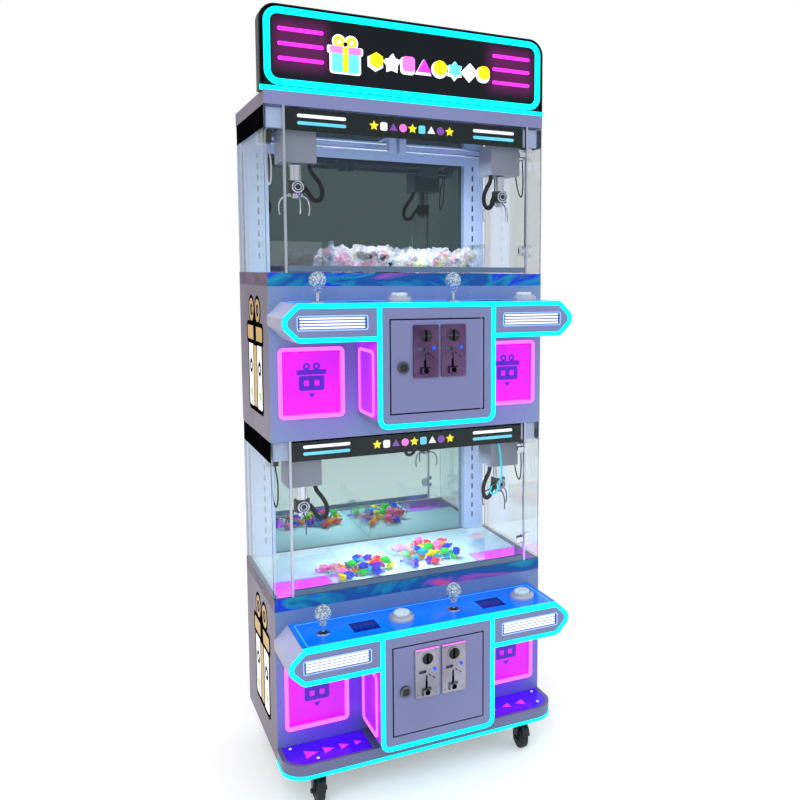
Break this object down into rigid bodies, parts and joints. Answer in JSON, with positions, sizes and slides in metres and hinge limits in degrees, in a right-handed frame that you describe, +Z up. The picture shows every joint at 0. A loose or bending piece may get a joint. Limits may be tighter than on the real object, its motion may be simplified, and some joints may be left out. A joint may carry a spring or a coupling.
{
  "type": "claw machine",
  "caption": "Two-tier prize claw cabinet on casters: four cranes over two glazed bays, lit consoles with joysticks and buttons, coin doors, prize flaps and a lit sign.",
  "frame": {"origin": "on the floor, under the middle of the outer box", "axes": "+Z up, front towards -Y, +X to the right seen from the front"},
  "size_m": [0.742, 0.56, 1.921],
  "materials": {
    "grey_paint": "satin powder coat",
    "console_paint": "satin powder coat",
    "door_paint": "satin powder coat",
    "pale_blue_steel": "gloss enamel",
    "clear_glass": "tempered, polished",
    "deck_white": "gloss laminate",
    "cyan_light": "lit acrylic",
    "circuit_plastic": "matte",
    "black_steel": "semi-gloss",
    "black_rubber": "moulded",
    "pink_acrylic": "lit acrylic",
    "clear_acrylic": "clear, faceted",
    "white_plastic": "clear cap",
    "rail_steel": "ground rod",
    "carriage_steel": "satin",
    "chrome": "polished"
  },
  "bodies": {
    "cabinet": {"base_plinth": "grey_paint", "lower_cabinet": "grey_paint", "middle_cabinet": "grey_paint", "roof_and_sign": "grey_paint", "control_consoles": "console_paint", "bay_frames": "pale_blue_steel", "glass_panes": "clear_glass", "play_decks": "deck_white", "light_strips": "cyan_light", "electronics": "circuit_plastic"},
    "front_left_caster_fork": {"front_left_caster_fork": "black_steel"},
    "front_left_caster_wheel": {"front_left_caster_wheel": "black_rubber"},
    "rear_left_caster_wheel": {"rear_left_caster_wheel": "black_rubber"},
    "front_right_caster_fork": {"front_right_caster_fork": "black_steel"},
    "front_right_caster_wheel": {"front_right_caster_wheel": "black_rubber"},
    "rear_right_caster_wheel": {"rear_right_caster_wheel": "black_rubber"},
    "lower_coin_door": {"lower_coin_door": "door_paint"},
    "lower_glass_door": {"lower_glass_door": "clear_glass"},
    "lower_left_prize_flap": {"lower_left_prize_flap": "pink_acrylic"},
    "lower_left_joystick_gimbal": {"lower_left_joystick_gimbal": "black_steel"},
    "lower_left_joystick": {"lower_left_joystick": "clear_acrylic"},
    "lower_left_button": {"lower_left_button": "white_plastic"},
    "lower_left_crane_bridge": {"lower_left_crane_bridge": "rail_steel"},
    "lower_left_crane_carriage": {"lower_left_crane_carriage": "carriage_steel"},
    "lower_left_claw_head": {"lower_left_claw_head": "chrome"},
    "lower_left_claw_prong_a": {"lower_left_claw_prong_a": "chrome"},
    "lower_left_claw_prong_b": {"lower_left_claw_prong_b": "chrome"},
    "lower_left_claw_prong_c": {"lower_left_claw_prong_c": "chrome"},
    "lower_right_prize_flap": {"lower_right_prize_flap": "pink_acrylic"},
    "lower_right_joystick_gimbal": {"lower_right_joystick_gimbal": "black_steel"},
    "lower_right_joystick": {"lower_right_joystick": "clear_acrylic"},
    "lower_right_button": {"lower_right_button": "white_plastic"},
    "lower_right_crane_bridge": {"lower_right_crane_bridge": "rail_steel"},
    "lower_right_crane_carriage": {"lower_right_crane_carriage": "carriage_steel"},
    "lower_right_claw_head": {"lower_right_claw_head": "chrome"},
    "lower_right_claw_prong_a": {"lower_right_claw_prong_a": "chrome"},
    "lower_right_claw_prong_b": {"lower_right_claw_prong_b": "chrome"},
    "lower_right_claw_prong_c": {"lower_right_claw_prong_c": "chrome"},
    "upper_coin_door": {"upper_coin_door": "door_paint"},
    "upper_glass_door": {"upper_glass_door": "clear_glass"},
    "upper_left_prize_flap": {"upper_left_prize_flap": "pink_acrylic"},
    "upper_left_joystick_gimbal": {"upper_left_joystick_gimbal": "black_steel"},
    "upper_left_joystick": {"upper_left_joystick": "clear_acrylic"},
    "upper_left_button": {"upper_left_button": "white_plastic"},
    "upper_left_crane_bridge": {"upper_left_crane_bridge": "rail_steel"},
    "upper_left_crane_carriage": {"upper_left_crane_carriage": "carriage_steel"},
    "upper_left_claw_head": {"upper_left_claw_head": "chrome"},
    "upper_left_claw_prong_a": {"upper_left_claw_prong_a": "chrome"},
    "upper_left_claw_prong_b": {"upper_left_claw_prong_b": "chrome"},
    "upper_left_claw_prong_c": {"upper_left_claw_prong_c": "chrome"},
    "upper_right_prize_flap": {"upper_right_prize_flap": "pink_acrylic"},
    "upper_right_joystick_gimbal": {"upper_right_joystick_gimbal": "black_steel"},
    "upper_right_joystick": {"upper_right_joystick": "clear_acrylic"},
    "upper_right_button": {"upper_right_button": "white_plastic"},
    "upper_right_crane_bridge": {"upper_right_crane_bridge": "rail_steel"},
    "upper_right_crane_carriage": {"upper_right_crane_carriage": "carriage_steel"},
    "upper_right_claw_head": {"upper_right_claw_head": "chrome"},
    "upper_right_claw_prong_a": {"upper_right_claw_prong_a": "chrome"},
    "upper_right_claw_prong_b": {"upper_right_claw_prong_b": "chrome"},
    "upper_right_claw_prong_c": {"upper_right_claw_prong_c": "chrome"}
  },
  "joints": [
    {"name": "front_left_caster_swivel", "type": "hinge", "parent": "cabinet", "child": "front_left_caster_fork", "pos_m": [-0.28, -0.146, 0.075], "axis": [0, 0, 1], "continuous": true},
    {"name": "front_left_wheel_spin", "type": "hinge", "parent": "front_left_caster_fork", "child": "front_left_caster_wheel", "pos_m": [-0.28, -0.166, 0.03], "axis": [1, 0, 0], "continuous": true},
    {"name": "rear_left_wheel_spin", "type": "hinge", "parent": "cabinet", "child": "rear_left_caster_wheel", "pos_m": [-0.28, 0.216, 0.03], "axis": [1, 0, 0], "continuous": true},
    {"name": "front_right_caster_swivel", "type": "hinge", "parent": "cabinet", "child": "front_right_caster_fork", "pos_m": [0.28, -0.146, 0.075], "axis": [0, 0, 1], "continuous": true},
    {"name": "front_right_wheel_spin", "type": "hinge", "parent": "front_right_caster_fork", "child": "front_right_caster_wheel", "pos_m": [0.28, -0.166, 0.03], "axis": [1, 0, 0], "continuous": true},
    {"name": "rear_right_wheel_spin", "type": "hinge", "parent": "cabinet", "child": "rear_right_caster_wheel", "pos_m": [0.28, 0.216, 0.03], "axis": [1, 0, 0], "continuous": true},
    {"name": "lower_coin_door_hinge", "type": "hinge", "parent": "cabinet", "child": "lower_coin_door", "pos_m": [0.115, -0.2615, 0.286], "axis": [0, 0, 1], "range_deg": [0, 95]},
    {"name": "lower_glass_door_hinge", "type": "hinge", "parent": "cabinet", "child": "lower_glass_door", "pos_m": [0.3195, -0.1085, 0.7], "axis": [0, 0, 1], "range_deg": [0, 110]},
    {"name": "lower_left_prize_flap_hinge", "type": "hinge", "parent": "cabinet", "child": "lower_left_prize_flap", "pos_m": [-0.265, -0.0985, 0.323], "axis": [1, 0, 0], "range_deg": [0, 45]},
    {"name": "lower_left_joystick_gimbal_tilt", "type": "hinge", "parent": "cabinet", "child": "lower_left_joystick_gimbal", "pos_m": [-0.269, -0.192, 0.419], "axis": [1, 0, 0], "range_deg": [-12, 12], "stiffness_Nm_per_rad": 1},
    {"name": "lower_left_joystick_tilt", "type": "hinge", "parent": "lower_left_joystick_gimbal", "child": "lower_left_joystick", "pos_m": [-0.269, -0.192, 0.419], "axis": [0, 1, 0], "range_deg": [-12, 12], "stiffness_Nm_per_rad": 1},
    {"name": "lower_left_button_press", "type": "slide", "parent": "cabinet", "child": "lower_left_button", "axis": [0, 0, -1], "range_m": [0, 0.004], "stiffness_N_per_m": 600},
    {"name": "lower_left_crane_bridge_travel", "type": "slide", "parent": "cabinet", "child": "lower_left_crane_bridge", "axis": [0, 1, 0], "range_m": [0, 0.2]},
    {"name": "lower_left_crane_carriage_travel", "type": "slide", "parent": "lower_left_crane_bridge", "child": "lower_left_crane_carriage", "axis": [1, 0, 0], "range_m": [0, 0.19]},
    {"name": "lower_left_claw_head_lift", "type": "slide", "parent": "lower_left_crane_carriage", "child": "lower_left_claw_head", "axis": [0, 0, -1], "range_m": [0, 0.105]},
    {"name": "lower_left_claw_prong_a_pivot", "type": "hinge", "parent": "lower_left_claw_head", "child": "lower_left_claw_prong_a", "pos_m": [-0.276, -0.039, 0.694], "axis": [1, 0, 0], "range_deg": [0, 38], "stiffness_Nm_per_rad": 0.05},
    {"name": "lower_left_claw_prong_b_pivot", "type": "hinge", "parent": "lower_left_claw_head", "child": "lower_left_claw_prong_b", "pos_m": [-0.26301, -0.0165, 0.694], "axis": [-0.5, 0.866, 0], "range_deg": [0, 38], "stiffness_Nm_per_rad": 0.05},
    {"name": "lower_left_claw_prong_c_pivot", "type": "hinge", "parent": "lower_left_claw_head", "child": "lower_left_claw_prong_c", "pos_m": [-0.28899, -0.0165, 0.694], "axis": [-0.5, -0.866, 0], "range_deg": [0, 38], "stiffness_Nm_per_rad": 0.05},
    {"name": "lower_right_prize_flap_hinge", "type": "hinge", "parent": "cabinet", "child": "lower_right_prize_flap", "pos_m": [0.265, -0.0985, 0.323], "axis": [1, 0, 0], "range_deg": [0, 45]},
    {"name": "lower_right_joystick_gimbal_tilt", "type": "hinge", "parent": "cabinet", "child": "lower_right_joystick_gimbal", "pos_m": [0.07, -0.192, 0.419], "axis": [1, 0, 0], "range_deg": [-12, 12], "stiffness_Nm_per_rad": 1},
    {"name": "lower_right_joystick_tilt", "type": "hinge", "parent": "lower_right_joystick_gimbal", "child": "lower_right_joystick", "pos_m": [0.07, -0.192, 0.419], "axis": [0, 1, 0], "range_deg": [-12, 12], "stiffness_Nm_per_rad": 1},
    {"name": "lower_right_button_press", "type": "slide", "parent": "cabinet", "child": "lower_right_button", "axis": [0, 0, -1], "range_m": [0, 0.004], "stiffness_N_per_m": 600},
    {"name": "lower_right_crane_bridge_travel", "type": "slide", "parent": "cabinet", "child": "lower_right_crane_bridge", "axis": [0, 1, 0], "range_m": [0, 0.2]},
    {"name": "lower_right_crane_carriage_travel", "type": "slide", "parent": "lower_right_crane_bridge", "child": "lower_right_crane_carriage", "axis": [-1, 0, 0], "range_m": [0, 0.19]},
    {"name": "lower_right_claw_head_lift", "type": "slide", "parent": "lower_right_crane_carriage", "child": "lower_right_claw_head", "axis": [0, 0, -1], "range_m": [0, 0.105]},
    {"name": "lower_right_claw_prong_a_pivot", "type": "hinge", "parent": "lower_right_claw_head", "child": "lower_right_claw_prong_a", "pos_m": [0.276, -0.039, 0.694], "axis": [1, 0, 0], "range_deg": [0, 38], "stiffness_Nm_per_rad": 0.05},
    {"name": "lower_right_claw_prong_b_pivot", "type": "hinge", "parent": "lower_right_claw_head", "child": "lower_right_claw_prong_b", "pos_m": [0.28899, -0.0165, 0.694], "axis": [-0.5, 0.866, 0], "range_deg": [0, 38], "stiffness_Nm_per_rad": 0.05},
    {"name": "lower_right_claw_prong_c_pivot", "type": "hinge", "parent": "lower_right_claw_head", "child": "lower_right_claw_prong_c", "pos_m": [0.26301, -0.0165, 0.694], "axis": [-0.5, -0.866, 0], "range_deg": [0, 38], "stiffness_Nm_per_rad": 0.05},
    {"name": "upper_coin_door_hinge", "type": "hinge", "parent": "cabinet", "child": "upper_coin_door", "pos_m": [0.115, -0.2615, 1.082], "axis": [0, 0, 1], "range_deg": [0, 95]},
    {"name": "upper_glass_door_hinge", "type": "hinge", "parent": "cabinet", "child": "upper_glass_door", "pos_m": [0.3195, -0.1085, 1.496], "axis": [0, 0, 1], "range_deg": [0, 110]},
    {"name": "upper_left_prize_flap_hinge", "type": "hinge", "parent": "cabinet", "child": "upper_left_prize_flap", "pos_m": [-0.265, -0.0985, 1.108], "axis": [1, 0, 0], "range_deg": [0, 45]},
    {"name": "upper_left_joystick_gimbal_tilt", "type": "hinge", "parent": "cabinet", "child": "upper_left_joystick_gimbal", "pos_m": [-0.269, -0.192, 1.215], "axis": [1, 0, 0], "range_deg": [-12, 12], "stiffness_Nm_per_rad": 1},
    {"name": "upper_left_joystick_tilt", "type": "hinge", "parent": "upper_left_joystick_gimbal", "child": "upper_left_joystick", "pos_m": [-0.269, -0.192, 1.215], "axis": [0, 1, 0], "range_deg": [-12, 12], "stiffness_Nm_per_rad": 1},
    {"name": "upper_left_button_press", "type": "slide", "parent": "cabinet", "child": "upper_left_button", "axis": [0, 0, -1], "range_m": [0, 0.004], "stiffness_N_per_m": 600},
    {"name": "upper_left_crane_bridge_travel", "type": "slide", "parent": "cabinet", "child": "upper_left_crane_bridge", "axis": [0, 1, 0], "range_m": [0, 0.2]},
    {"name": "upper_left_crane_carriage_travel", "type": "slide", "parent": "upper_left_crane_bridge", "child": "upper_left_crane_carriage", "axis": [1, 0, 0], "range_m": [0, 0.19]},
    {"name": "upper_left_claw_head_lift", "type": "slide", "parent": "upper_left_crane_carriage", "child": "upper_left_claw_head", "axis": [0, 0, -1], "range_m": [0, 0.105]},
    {"name": "upper_left_claw_prong_a_pivot", "type": "hinge", "parent": "upper_left_claw_head", "child": "upper_left_claw_prong_a", "pos_m": [-0.276, -0.039, 1.49], "axis": [1, 0, 0], "range_deg": [0, 38], "stiffness_Nm_per_rad": 0.05},
    {"name": "upper_left_claw_prong_b_pivot", "type": "hinge", "parent": "upper_left_claw_head", "child": "upper_left_claw_prong_b", "pos_m": [-0.26301, -0.0165, 1.49], "axis": [-0.5, 0.866, 0], "range_deg": [0, 38], "stiffness_Nm_per_rad": 0.05},
    {"name": "upper_left_claw_prong_c_pivot", "type": "hinge", "parent": "upper_left_claw_head", "child": "upper_left_claw_prong_c", "pos_m": [-0.28899, -0.0165, 1.49], "axis": [-0.5, -0.866, 0], "range_deg": [0, 38], "stiffness_Nm_per_rad": 0.05},
    {"name": "upper_right_prize_flap_hinge", "type": "hinge", "parent": "cabinet", "child": "upper_right_prize_flap", "pos_m": [0.265, -0.0985, 1.108], "axis": [1, 0, 0], "range_deg": [0, 45]},
    {"name": "upper_right_joystick_gimbal_tilt", "type": "hinge", "parent": "cabinet", "child": "upper_right_joystick_gimbal", "pos_m": [0.07, -0.192, 1.215], "axis": [1, 0, 0], "range_deg": [-12, 12], "stiffness_Nm_per_rad": 1},
    {"name": "upper_right_joystick_tilt", "type": "hinge", "parent": "upper_right_joystick_gimbal", "child": "upper_right_joystick", "pos_m": [0.07, -0.192, 1.215], "axis": [0, 1, 0], "range_deg": [-12, 12], "stiffness_Nm_per_rad": 1},
    {"name": "upper_right_button_press", "type": "slide", "parent": "cabinet", "child": "upper_right_button", "axis": [0, 0, -1], "range_m": [0, 0.004], "stiffness_N_per_m": 600},
    {"name": "upper_right_crane_bridge_travel", "type": "slide", "parent": "cabinet", "child": "upper_right_crane_bridge", "axis": [0, 1, 0], "range_m": [0, 0.2]},
    {"name": "upper_right_crane_carriage_travel", "type": "slide", "parent": "upper_right_crane_bridge", "child": "upper_right_crane_carriage", "axis": [-1, 0, 0], "range_m": [0, 0.19]},
    {"name": "upper_right_claw_head_lift", "type": "slide", "parent": "upper_right_crane_carriage", "child": "upper_right_claw_head", "axis": [0, 0, -1], "range_m": [0, 0.105]},
    {"name": "upper_right_claw_prong_a_pivot", "type": "hinge", "parent": "upper_right_claw_head", "child": "upper_right_claw_prong_a", "pos_m": [0.276, -0.039, 1.49], "axis": [1, 0, 0], "range_deg": [0, 38], "stiffness_Nm_per_rad": 0.05},
    {"name": "upper_right_claw_prong_b_pivot", "type": "hinge", "parent": "upper_right_claw_head", "child": "upper_right_claw_prong_b", "pos_m": [0.28899, -0.0165, 1.49], "axis": [-0.5, 0.866, 0], "range_deg": [0, 38], "stiffness_Nm_per_rad": 0.05},
    {"name": "upper_right_claw_prong_c_pivot", "type": "hinge", "parent": "upper_right_claw_head", "child": "upper_right_claw_prong_c", "pos_m": [0.26301, -0.0165, 1.49], "axis": [-0.5, -0.866, 0], "range_deg": [0, 38], "stiffness_Nm_per_rad": 0.05}
  ],
  "couplings": [
    {"joint": "lower_left_claw_prong_b_pivot", "follows": "lower_left_claw_prong_a_pivot", "ratio": 1},
    {"joint": "lower_left_claw_prong_c_pivot", "follows": "lower_left_claw_prong_a_pivot", "ratio": 1},
    {"joint": "lower_right_claw_prong_b_pivot", "follows": "lower_right_claw_prong_a_pivot", "ratio": 1},
    {"joint": "lower_right_claw_prong_c_pivot", "follows": "lower_right_claw_prong_a_pivot", "ratio": 1},
    {"joint": "upper_left_claw_prong_b_pivot", "follows": "upper_left_claw_prong_a_pivot", "ratio": 1},
    {"joint": "upper_left_claw_prong_c_pivot", "follows": "upper_left_claw_prong_a_pivot", "ratio": 1},
    {"joint": "upper_right_claw_prong_b_pivot", "follows": "upper_right_claw_prong_a_pivot", "ratio": 1},
    {"joint": "upper_right_claw_prong_c_pivot", "follows": "upper_right_claw_prong_a_pivot", "ratio": 1}
  ]
}
